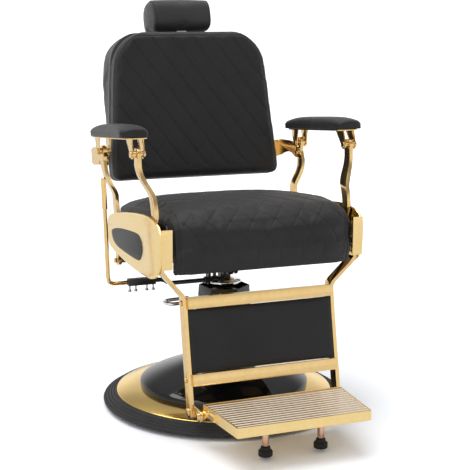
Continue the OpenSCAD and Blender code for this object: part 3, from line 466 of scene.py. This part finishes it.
def seat_line(t):
    """The cushion's top from its rear, t = 0, over the bend and down its rolled front, t = 1."""
    if t < SEAT_BEND:
        s = t / SEAT_BEND
        fall = 90 * (s - 0.86) ** 1.5 if s > 0.86 else 0
        rise = 38 * math.sin(math.radians(90 * min(1, s * 1.12)))
        return 190 - 400 * s, SEAT_TOP - 38 + rise - fall
    s = (t - SEAT_BEND) / SEAT_ROLL
    return (
        -210 - 82 * math.sin(math.radians(90 * min(1, 1.15 * s))),
        SEAT_TOP - 5 - 100 * s * s * (1 - 0.12 * s),
    )


def seat_cushion():
    steps = [j / 28 for j in range(29)]
    rings = []
    for u in stations(1, 0.985, 0.955, 0.91):
        edge = abs(u)
        drop = 26 * edge**4
        draw = 14 * edge**10
        ring = [(190, BOARD_TOP), (194, BOARD_TOP + 30)]
        for t in steps:
            y, z = seat_line(t)
            back = draw if y < -150 else 0
            ring.append((y + back, z - drop * (1 - t * t)))
        ring += [(-300 + draw, SEAT_LOW + 45), (-288 + draw, SEAT_LOW)]
        ring += [(-264, SEAT_LOW), (-262, BOARD_TOP)]
        rings.append([Vector((u * SEAT_W, y, z)) * MM for y, z in ring])
    obj = loft("seat_upholstery", rings)

    def keep(co):
        above = np.where(co[:, 2] > BOARD_TOP * MM + 0.004, 1.0, 0.2)
        return above * np.where(np.abs(co[:, 0]) > 0.24, 0.5, 1.0)

    swell(obj, 5.0, 6.0, 3.0, keep)
    co, no = coords(obj), normals(obj)
    line = np.array([seat_line(t) for t in np.linspace(0, 1, 400)])
    line = np.vstack([line, [[-300, SEAT_LOW + 45], [-288, SEAT_LOW]]])
    run = np.concatenate([[0], np.cumsum(np.linalg.norm(np.diff(line, axis=0), axis=1))])
    place = np.empty(len(co))
    batch = 20000
    for i in range(0, len(co), batch):
        part = co[i : i + batch, 1:] / MM
        near = ((part[:, None, :] - line[None, :, :]) ** 2).sum(2).argmin(1)
        place[i : i + batch] = run[near]
    x = co[:, 0] / MM
    facing = no[:, 2] * 0.9 - no[:, 1] * 0.9 - np.abs(no[:, 0]) * 1.2
    outer = np.clip((facing + 0.15) / 0.4, 0, 1)
    inside = np.clip((226 - np.abs(x)) / 7, 0, 1) * np.clip((run[-1] - 30 - place) / 25, 0, 1)
    inside *= np.clip(place / 12, 0, 1)
    up = inside * 0.8 * quilting(x, place - 14, -1.0)
    up -= 2.2 * (fold(np.abs(x), 231, 2.2) + 0.7 * fold(np.abs(x), 239, 1.6))
    put_coords(obj, co + no * (up * outer * MM)[:, None])
    paint(obj, LEATHER)
    finish_pad(obj, "seat_cushion")


# ---- the backrest

BACK_W = 254.0
BACK_H = 420.0
BACK_PAD = 42.0
# radius of the lower corners, and of the upper ones of the cushion and of the body behind it
LOW_R, CUSHION_R, BODY_R = 24, 98, 80
# how far each of the two reaches past the plane between them, and its height over the solid's
LAP, TALLER = 6, 1.006
# from the cushion's side to its front seam
SEAM_IN = 12.0
# half width as a share of BACK_W, and depth in mm, up the back
WIDTHS = [(0, 1), (0.12, 1.004), (0.3, 0.985), (0.45, 0.964), (0.64, 0.942), (0.78, 0.915),
          (1, 0.885)]
DEPTHS = [(0, 52), (20, 60), (50, 66), (103, 70), (140, 80), (176, 95), (230, 114), (283, 126),
          (325, 128), (363, 123), (390, 114), (420, 102)]


def stood(x, y, z, lean):
    """A frame at x, y, z, in mm, that leans back by lean."""
    return Matrix.Translation(Vector((x, y, z)) * MM) @ Matrix.Rotation(-lean, 4, "X")


BACK_FRAME = stood(0, 197, 612, math.radians(10))


def back_half(v, r):
    """Half of the back's width at height v, with upper corners of radius r."""
    half = BACK_W * lookup(v / BACK_H, WIDTHS)
    if v > BACK_H - r:
        half -= r - math.sqrt(max(0, r * r - (v - BACK_H + r) ** 2))
    if v < LOW_R:
        half -= LOW_R - math.sqrt(max(0, LOW_R * LOW_R - (LOW_R - v) ** 2))
    return half


def back_rows(r):
    """Heights for the back's rings, close together in its corners."""
    low = [0, 1, 4, 9, 16, LOW_R]
    turns = (0, 12, 24, 36, 48, 58, 67, 75, 82, 90)
    high = [BACK_H - r + r * math.sin(math.radians(a)) for a in turns]
    return low + list(np.linspace(36, BACK_H - r - 14, 16)) + high


def back_cushion():
    rings = []
    for v in back_rows(CUSHION_R):
        w = back_half(v, CUSHION_R) + 1.5
        ring = []
        for u in stations(1, 0.99, 0.96, 0.9):
            t = min(w * (1 - abs(u)), v, BACK_H - v)
            soft = 9 * (1 - t / 17) ** 2 if t < 17 else 0
            ring.append((u * w, soft - 3 * (1 - u * u), v))
        rear = BACK_PAD + LAP
        ring += [(w, rear * 0.6, v), (w, rear, v), (0, rear, v), (-w, rear, v), (-w, rear * 0.6, v)]
        rings.append([Vector((x, y, z * TALLER)) * MM for x, y, z in ring])
    obj = loft("back_upholstery", rings)
    swell(obj, 5.0, 5.0, 3.0, lambda co: np.where(co[:, 1] > (BACK_PAD - 9) * MM, 0.6, 1.0))
    co, no = coords(obj), normals(obj)
    x, v = co[:, 0] / MM, co[:, 2] / MM
    heights = np.linspace(0, BACK_H, 300)
    half = np.array([back_half(t, CUSHION_R) for t in heights])
    edge = np.minimum(np.interp(v, heights, half) - np.abs(x), BACK_H - v)
    front = np.clip((-no[:, 1] - 0.2) / 0.4, 0, 1)
    inside = np.clip((edge - SEAM_IN - 2) / 10, 0, 1) * np.clip((v - 26) / 12, 0, 1)
    up = inside * quilting(x, v - 28 + QUILT_Y, 1.0) * front
    up -= 1.8 * fold(edge, SEAM_IN, 1.8) * front
    put_coords(obj, co + no * (up * MM)[:, None])
    paint(obj, LEATHER)
    # the cushion's sides and rear, and its edge outside the seam, take the lighter copy of the
    # leather: painted light
    obj.data.materials.append(SIDE_LEATHER_LIT)
    for face in obj.data.polygons:
        near = edge[list(face.vertices)].mean()
        face.material_index = int(face.center.y > 11 * MM or near < SEAM_IN)
    obj.data.transform(BACK_FRAME)
    finish_pad(obj, "back_cushion")


def back_body():
    rings = []
    near = BACK_PAD - LAP
    for v in back_rows(BODY_R):
        w = back_half(v, BODY_R) + 2
        d = lookup(v, DEPTHS)
        t = min(v, BACK_H - v)
        d -= 6 * (1 - t / 14) ** 2 if t < 14 else 0
        side = [(w, near), (w, (BACK_PAD + d) / 2), (w, d - 16), (w - 1.5, d - 10),
                (w - 5, d - 5), (w - 12, d - 1.5), (w - 24, d), (w * 0.5, d + 1), (0, d + 2)]
        ring = [(x, y, v) for x, y in side] + [(-x, y, v) for x, y in side[-2::-1]]
        ring += [(-w * 0.5, near, v), (0, near, v), (w * 0.5, near, v)]
        rings.append([Vector((x, y, z * TALLER)) * MM for x, y, z in ring])
    obj = loft("back_shell_upholstery", rings)
    swell(obj, 5.5, 4.0, 2.5, lambda co: np.where(co[:, 1] < (BACK_PAD + 9) * MM, 0.6, 1.0))
    obj.data.transform(BACK_FRAME)
    # the body behind the cushion takes the lighter copy of the leather: painted light on its sides
    paint(obj, SIDE_LEATHER_LIT)
    finish_pad(obj, "back_body")


HEAD_FRAME = stood(0, 382, 1061, math.radians(18))


def headrest():
    half_w, half_d, half_h = 93.0, 57.0, 49.5
    rings = []
    for u, s in ((-1, 0.8), (-0.985, 0.9), (-0.955, 0.965), (-0.9, 1), (-0.6, 1.01),
                 (-0.3, 1.02), (0, 1.02), (0.3, 1.02), (0.6, 1.01), (0.9, 1), (0.955, 0.965),
                 (0.985, 0.9), (1, 0.8)):
        ring = []
        for j in range(48):
            a = math.radians(7.5 * j)
            c, q = math.cos(a), math.sin(a)
            square = 0.75 if q > 0 else 0.62
            ring.append(Vector((u * half_w, s * half_d * math.copysign(abs(c) ** square, c),
                                s * half_h * math.copysign(abs(q) ** square, q))) * MM)
        rings.append(ring)
    obj = loft("headrest_upholstery", rings)
    swell(obj, 4.0, 4.0, 3.0)
    co, no = coords(obj), normals(obj)
    x = np.abs(co[:, 0]) / MM
    side = np.clip(1.4 - np.abs(no[:, 0]) * 1.6, 0, 1)
    up = -2.2 * fold(x, 80, 1.8) + 0.9 * fold(x, 86, 3.0)
    put_coords(obj, co + no * (up * side * MM)[:, None])
    obj.data.transform(HEAD_FRAME)
    # the headrest takes the lighter copy of the leather: painted light
    paint(obj, SIDE_LEATHER_LIT)
    finish_pad(obj, "headrest_cushion")


# ---- the arm pads

ARM_X = 299.5
ARM_LEN = math.hypot(305, 28)
ARM_RISE = math.atan2(28, 305)
PAD_L, PAD_W, PAD_H, PAD_R = 335.0, 76.0, 35.0, 20.0


def arm_pad(side, name):
    section = [(-1, 0), (-1.01, 0.2), (-1, 0.42), (-0.93, 0.68), (-0.74, 0.87), (-0.4, 0.97),
               (0, 1), (0.4, 0.97), (0.74, 0.87), (0.93, 0.68), (1, 0.42), (1.01, 0.2), (1, 0),
               (0.5, 0), (-0.5, 0)]
    rings = []
    for s in stations(1, 0.99, 0.97, 0.94, 0.9):
        e = max(0, PAD_R - PAD_L / 2 * (1 - abs(s)))
        w = PAD_W / 2 - PAD_R + math.sqrt(PAD_R * PAD_R - e * e)
        c = PAD_H * (0.58 + 0.42 * math.sqrt(1 - s**4))
        rings.append([Vector((p * w, s * PAD_L / 2, q * c)) * MM for p, q in section])
    obj = loft("arm_upholstery_" + name, rings)
    swell(obj, 4.0, 3.0, 2.5, lambda co: np.where(co[:, 2] < 0.006, 0.35, 1.0))
    co = coords(obj)
    co[:, 2] = np.maximum(co[:, 2], 0.0001)
    no = normals(obj)
    put_coords(obj, co - no * (1.1 * fold(co[:, 2] / MM, 9.5, 1.3) * MM)[:, None])
    along = Matrix.Translation(Vector((0, 9 - ARM_LEN / 2, 41)) * MM)
    toe = Matrix.Rotation(side * math.radians(2), 4, "Z")
    obj.data.transform(stood(side * ARM_X, 150, 705, ARM_RISE) @ along @ toe)
    paint(obj, LEATHER)
    finish_pad(obj, "arm_pad_" + name)


# ---- the footrest tray

TRAY_FRONT, TRAY_REAR, TRAY_LOW, TRAY_HIGH = -537.0, -341.0, 92.0, 119.0
TRAY_RIBS = 12
# half a rib's width, the height of its crown and the crown's foot under the rim
RIB_HALF, RIB_CROWN, RIB_DOWN = 4.9, 3.1, 3.6
# the hinge pin's place and the radius of the lug around it
HINGE_Y, HINGE_Z, LUG_R = -337, 86, 13


def tray_half(y):
    """Half of the tray's width: it widens from its front edge to its hinges."""
    return 181 + 13.5 * (y - TRAY_FRONT) / (TRAY_REAR - TRAY_FRONT)


def shell(bm, rings):
    """Adds a closed skin through rings of equally many points, in mm, with a face at each end."""
    rows = [[bm.verts.new(Vector(p) * MM) for p in ring] for ring in rings]
    for a, b in zip(rows, rows[1:]):
        for j in range(len(a)):
            k = (j + 1) % len(a)
            bm.faces.new((a[j], a[k], b[k], b[j]))
    bm.faces.new(rows[0][::-1])
    bm.faces.new(rows[-1])


def tray_plan(wall, z):
    """The tray's outline at z, with rounded corners, drawn in by the wall."""
    points = []
    corners = (-1, TRAY_FRONT, 180), (1, TRAY_FRONT, 270), (1, TRAY_REAR, 0), (-1, TRAY_REAR, 90)
    for sx, y, start in corners:
        r = max(1.0, 4.0 - wall * 0.6)
        cy = y + (wall + r if y == TRAY_FRONT else -wall - r)
        cx = sx * (tray_half(y) - wall - r)
        for step in range(5):
            a = math.radians(start + 22.5 * step)
            points.append((cx + r * math.cos(a), cy + r * math.sin(a), z))
    return points


def footrest_tray():
    bm = bmesh.new()
    high, low = TRAY_HIGH, TRAY_LOW
    outside = (1, low), (0, low + 1), (0, high - 1), (0.8, high)
    inside = (3.4, high), (4.2, high - 1), (4.5, low + 5)
    shell(bm, [tray_plan(wall, z) for wall, z in outside + inside])
    pitch = (TRAY_REAR - TRAY_FRONT - 10) / (TRAY_RIBS + 0.2)
    for i in range(TRAY_RIBS):
        y = TRAY_FRONT + 6 + pitch * (i + 0.6)
        bow = [(-RIB_HALF, low + 4), (-RIB_HALF, high - 5)]
        for a in range(165, 0, -15):
            c, q = math.cos(math.radians(a)), math.sin(math.radians(a))
            bow.append((RIB_HALF * c, high - RIB_DOWN + RIB_CROWN * q))
        bow += [(RIB_HALF, high - 5), (RIB_HALF, low + 4)]
        reach = tray_half(y) - 3
        shell(bm, [[(x, y + dy, z) for dy, z in bow] for x in (-reach, 0, reach)])
    for side in (-1, 1):
        lug = []
        for a in range(-90, 91, 15):
            c, q = math.cos(math.radians(a)), math.sin(math.radians(a))
            lug.append((HINGE_Y + LUG_R * c, HINGE_Z + LUG_R * q))
        lug += [(-352, 106), (-420, 108), (-420, 96), (-372, 94), (-350, 78)]
        shell(bm, [[(side * x, y, z) for y, z in lug] for x in (188, 189, 194.6, 195.4)])
    bmesh.ops.recalc_face_normals(bm, faces=bm.faces)
    mesh = bpy.data.meshes.new("footrest_tray")
    bm.to_mesh(mesh)
    bm.free()
    obj = new_piece("look_footrest_tray", mesh)
    soften(mesh, 35)
    paint(obj, GOLD_TRAY)
    # the crowns of the ribs take the paler gold, a painted highlight; the valleys between them keep
    # the deeper tray gold
    mesh.materials.append(GOLD_RIB_HIGHLIGHT)
    for face in mesh.polygons:
        x, y, z = face.center / MM
        within = abs(x) < tray_half(y) - 2 and TRAY_FRONT + 6 < y < TRAY_REAR - 6
        if within and z > high - 8:
            face.material_index = 1
    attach(obj, body_of("footrest_tray"))
    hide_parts("footrest_tray")


# ---- the leg panel

LEG_FRAME = stood(0, -232, 372, math.radians(10.83))


def leg_panel():
    low, high, half = -198.0, -31.0, 203.0
    rings = []
    for k in [0, 0.01, 0.04, 0.1, 0.2, 0.35, 0.5, 0.65, 0.8, 0.9, 0.96, 0.99, 1]:
        v = low + (high - low) * k
        ring = [(u * half, -22 + 3 * abs(u) ** 12 + 4 * abs(2 * k - 1) ** 8, v)
                for u in stations(1, 0.985, 0.94)]
        ring += [(half, -4, v), (0, -4, v), (-half, -4, v)]
        rings.append([Vector(p) * MM for p in ring])
    obj = loft("leg_upholstery", rings)
    swell(obj, 4.0, 3.0, 1.5, lambda co: np.where(np.abs(co[:, 0]) > 0.199, 0.3, 1.0))
    obj.data.transform(LEG_FRAME)
    paint(obj, LEATHER)
    finish_pad(obj, "leg_panel")


# made anew below, so not dressed
MADE = ["seat_cushion", "back_cushion", "back_body", "headrest_cushion", "arm_pad_left",
        "arm_pad_right", "leg_panel", "footrest_tray"]
# how wide the edges are rounded, in mm, and in how many steps
EDGES = {"housing_left": (1.2, 3), "housing_right": (1.2, 3), "rear_posts": (1.5, 3),
         "front_post_left": (1.5, 3), "front_post_right": (1.5, 3), "leg_bars": (1.5, 3),
         "leg_bands": (1.5, 3), "column_cover": (1.2, 3), "arm_plate_left": (0.8, 2),
         "arm_plate_right": (0.8, 2), "lever_rod": (0.2, 1), "lever_shaft": (0.2, 1),
         "pedal": (0.3, 1)}
LOOKS = {"base_cover": GOLD_DEEP}
for node in frame["nodes"]:
    if node not in MADE:
        piece = dress(node, *EDGES.get(node, (0.5, 2)), look=LOOKS.get(node))
        # the spring is 20 mm long at rest and 14.7 mm with the pedal down
        if node == "plunger_spring":
            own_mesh(piece)
footrest_tray()
seat_cushion()
back_cushion()
back_body()
headrest()
arm_pad(-1, "left")
arm_pad(1, "right")
leg_panel()

# ---------------------------------------------------------------- studio


def studio():
    """A wide pale floor, a white world and two soft suns."""
    bm = bmesh.new()
    bmesh.ops.create_grid(bm, x_segments=1, y_segments=1, size=300)
    mesh = bpy.data.meshes.new("floor")
    bm.to_mesh(mesh)
    bm.free()
    floor = new_piece("floor", mesh)
    n = Nodes("pale_floor")
    n.set(Roughness=0.6, Specular_IOR_Level=0.1)
    n.tint(n.noise(3.0), (0.80, 0.80, 0.81), (0.82, 0.82, 0.83))
    seen = n.add("ShaderNodeBsdfDiffuse")
    seen.inputs["Color"].default_value = (1.21, 1.235, 1.285, 1)
    path = n.add("ShaderNodeLightPath")
    mix = n.add("ShaderNodeMixShader")
    out = n.tree.nodes["Material Output"]
    n.join(path.outputs["Is Camera Ray"], mix.inputs["Fac"])
    n.join(n.shader.outputs[0], mix.inputs[1])
    n.join(seen.outputs[0], mix.inputs[2])
    n.join(mix.outputs[0], out.inputs["Surface"])
    paint(floor, n.mat)

    world = bpy.data.worlds.new("studio")
    bpy.context.scene.world = world
    world.use_nodes = True
    tree = world.node_tree
    tree.nodes.clear()
    out = tree.nodes.new("ShaderNodeOutputWorld")
    shown = tree.nodes.new("ShaderNodeBackground")
    shown.inputs["Color"].default_value = (1, 1, 1, 1)
    lit = tree.nodes.new("ShaderNodeBackground")
    lit.inputs["Color"].default_value = (1, 1, 1, 1)
    lit.inputs["Strength"].default_value = 0.5
    path = tree.nodes.new("ShaderNodeLightPath")
    mix = tree.nodes.new("ShaderNodeMixShader")
    tree.links.new(path.outputs["Is Diffuse Ray"], mix.inputs["Fac"])
    tree.links.new(shown.outputs[0], mix.inputs[1])
    tree.links.new(lit.outputs[0], mix.inputs[2])
    tree.links.new(mix.outputs[0], out.inputs["Surface"])
    # in reflections the studio is white round the horizon and overhead, and darker between the two
    where = tree.nodes.new("ShaderNodeTexCoord")
    split = tree.nodes.new("ShaderNodeSeparateXYZ")
    fade = tree.nodes.new("ShaderNodeValToRGB")
    fade.color_ramp.interpolation = "EASE"
    for place, level in ((0.14, 1.0), (0.5, 0.34), (0.72, 0.45), (0.9, 1.0)):
        stop = fade.color_ramp.elements.new(place)
        stop.color = (level, level, level, 1)
    fade.color_ramp.elements[0].color = (1, 1, 1, 1)
    pick = tree.nodes.new("ShaderNodeMix")
    pick.inputs["A"].default_value = 1.0
    tree.links.new(where.outputs["Generated"], split.inputs[0])
    tree.links.new(split.outputs["Z"], fade.inputs["Fac"])
    tree.links.new(path.outputs["Is Glossy Ray"], pick.inputs["Factor"])
    tree.links.new(fade.outputs["Color"], pick.inputs["B"])
    tree.links.new(pick.outputs["Result"], shown.inputs["Strength"])

    def sun(name, place, angle, power):
        data = bpy.data.lights.new(name, "SUN")
        data.angle = math.radians(angle)
        data.energy = power
        obj = bpy.data.objects.new(name, data)
        bpy.context.scene.collection.objects.link(obj)
        obj.location = place
        obj.rotation_euler = (-Vector(place)).to_track_quat("-Z", "Y").to_euler()

    sun("top", (-0.5, 0.6, 3.0), 50, 1.65)
    sun("key", (-2.2, -1.6, 2.4), 35, 0.4)


def camera():
    """In front of the chair, to the sitter's right, as high as the headrest."""
    look = Vector((0.3757, 0.9062, -0.194)).normalized()
    right = look.cross(Vector((0, 0, 1))).normalized()
    up = right.cross(look)
    roll = math.radians(0.34)
    side = right * math.cos(roll) + up * math.sin(roll)
    top = up * math.cos(roll) - right * math.sin(roll)
    data = bpy.data.cameras.new("camera")
    data.sensor_width = 36.0
    data.lens = 36.0 * 1215.69 / 470
    obj = bpy.data.objects.new("camera", data)
    bpy.context.scene.collection.objects.link(obj)
    turn = Matrix((side, top, -look)).transposed().to_4x4()
    obj.matrix_world = Matrix.Translation((-1.239, -3.066, 1.130)) @ turn
    bpy.context.scene.camera = obj


studio()
camera()
bpy.context.scene.view_settings.view_transform = "Standard"
